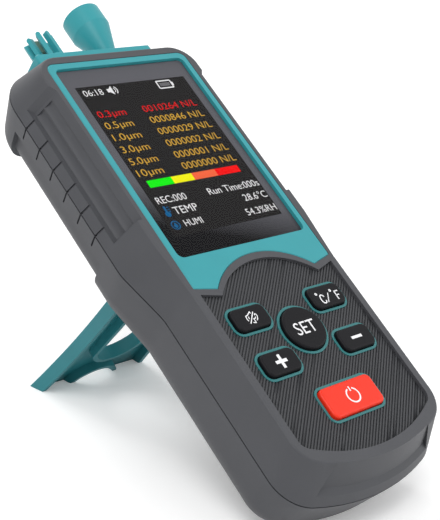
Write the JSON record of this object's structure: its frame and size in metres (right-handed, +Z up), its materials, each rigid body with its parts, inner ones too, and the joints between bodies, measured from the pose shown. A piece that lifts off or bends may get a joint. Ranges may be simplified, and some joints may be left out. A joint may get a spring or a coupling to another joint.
{
  "type": "airborne particle counter",
  "caption": "Handheld airborne particle counter leaning on its kickstand, with a colour display, a ribbed keypad, an inlet funnel and a guarded humidity sensor.",
  "frame": {"origin": "bottom centre of the bounding box, on the floor", "axes": "+Z up, the display faces -Y and upwards, +X to the right of someone reading the display"},
  "size_m": [0.0712, 0.1615, 0.1214],
  "materials": {
    "housing": "fine satin moulding",
    "overmould": "soft-touch matt",
    "pad": "fine ribs, satin",
    "button": "satin",
    "power_key": "semi-gloss",
    "window": "gloss cover glass",
    "display": "lit colour display",
    "seal": "matt",
    "steel": "ground",
    "board": "solder mask",
    "mat": "silicone",
    "cell": "sleeve film",
    "chamber": "black anodised",
    "sensor": "matt",
    "hose": "silicone",
    "pump": "satin",
    "filter": "satin",
    "brass": "turned"
  },
  "bodies": {
    "case": {"front_housing": "housing", "front_overmould": "overmould", "rear_housing": "overmould", "rear_overmould": "overmould", "case_seal": "seal", "top_cap": "housing", "keypad_pad": "pad", "display_window": "window", "lcd_panel": "display", "main_board": "board", "key_mat": "mat", "kickstand_pin": "steel", "inlet_funnel": "housing", "inlet_spigot": "steel", "inlet_hose": "hose", "sensor_guard": "housing", "humidity_sensor": "sensor", "optical_chamber": "chamber", "laser_module": "brass", "photodetector": "pump", "suction_pump": "pump", "transfer_tube": "hose", "exhaust_filter": "filter", "battery": "cell", "buzzer": "pump", "charging_socket": "steel", "case_screws": "steel", "board_screws": "steel"},
    "mute_button": {"mute_button": "button"},
    "units_button": {"units_button": "button"},
    "plus_button": {"plus_button": "button"},
    "minus_button": {"minus_button": "button"},
    "set_button": {"set_button": "button"},
    "power_button": {"power_button": "power_key"},
    "kickstand": {"kickstand": "housing"}
  },
  "joints": [
    {"name": "mute_press", "type": "slide", "parent": "case", "child": "mute_button", "axis": [0, 0.5736, -0.8192], "range_m": [0, 0.0008], "stiffness_N_per_m": 1500},
    {"name": "units_press", "type": "slide", "parent": "case", "child": "units_button", "axis": [0, 0.5736, -0.8192], "range_m": [0, 0.0008], "stiffness_N_per_m": 1500},
    {"name": "plus_press", "type": "slide", "parent": "case", "child": "plus_button", "axis": [0, 0.5736, -0.8192], "range_m": [0, 0.0008], "stiffness_N_per_m": 1500},
    {"name": "minus_press", "type": "slide", "parent": "case", "child": "minus_button", "axis": [0, 0.5736, -0.8192], "range_m": [0, 0.0008], "stiffness_N_per_m": 1500},
    {"name": "set_press", "type": "slide", "parent": "case", "child": "set_button", "axis": [0, 0.5736, -0.8192], "range_m": [0, 0.0008], "stiffness_N_per_m": 1500},
    {"name": "power_press", "type": "slide", "parent": "case", "child": "power_button", "axis": [0, 0.5736, -0.8192], "range_m": [0, 0.0008], "stiffness_N_per_m": 1500},
    {"name": "kickstand_fold", "type": "hinge", "parent": "case", "child": "kickstand", "pos_m": [0, 0.00589, 0.0499], "axis": [-1, 0, 0], "range_deg": [0, 96.2]}
  ]
}
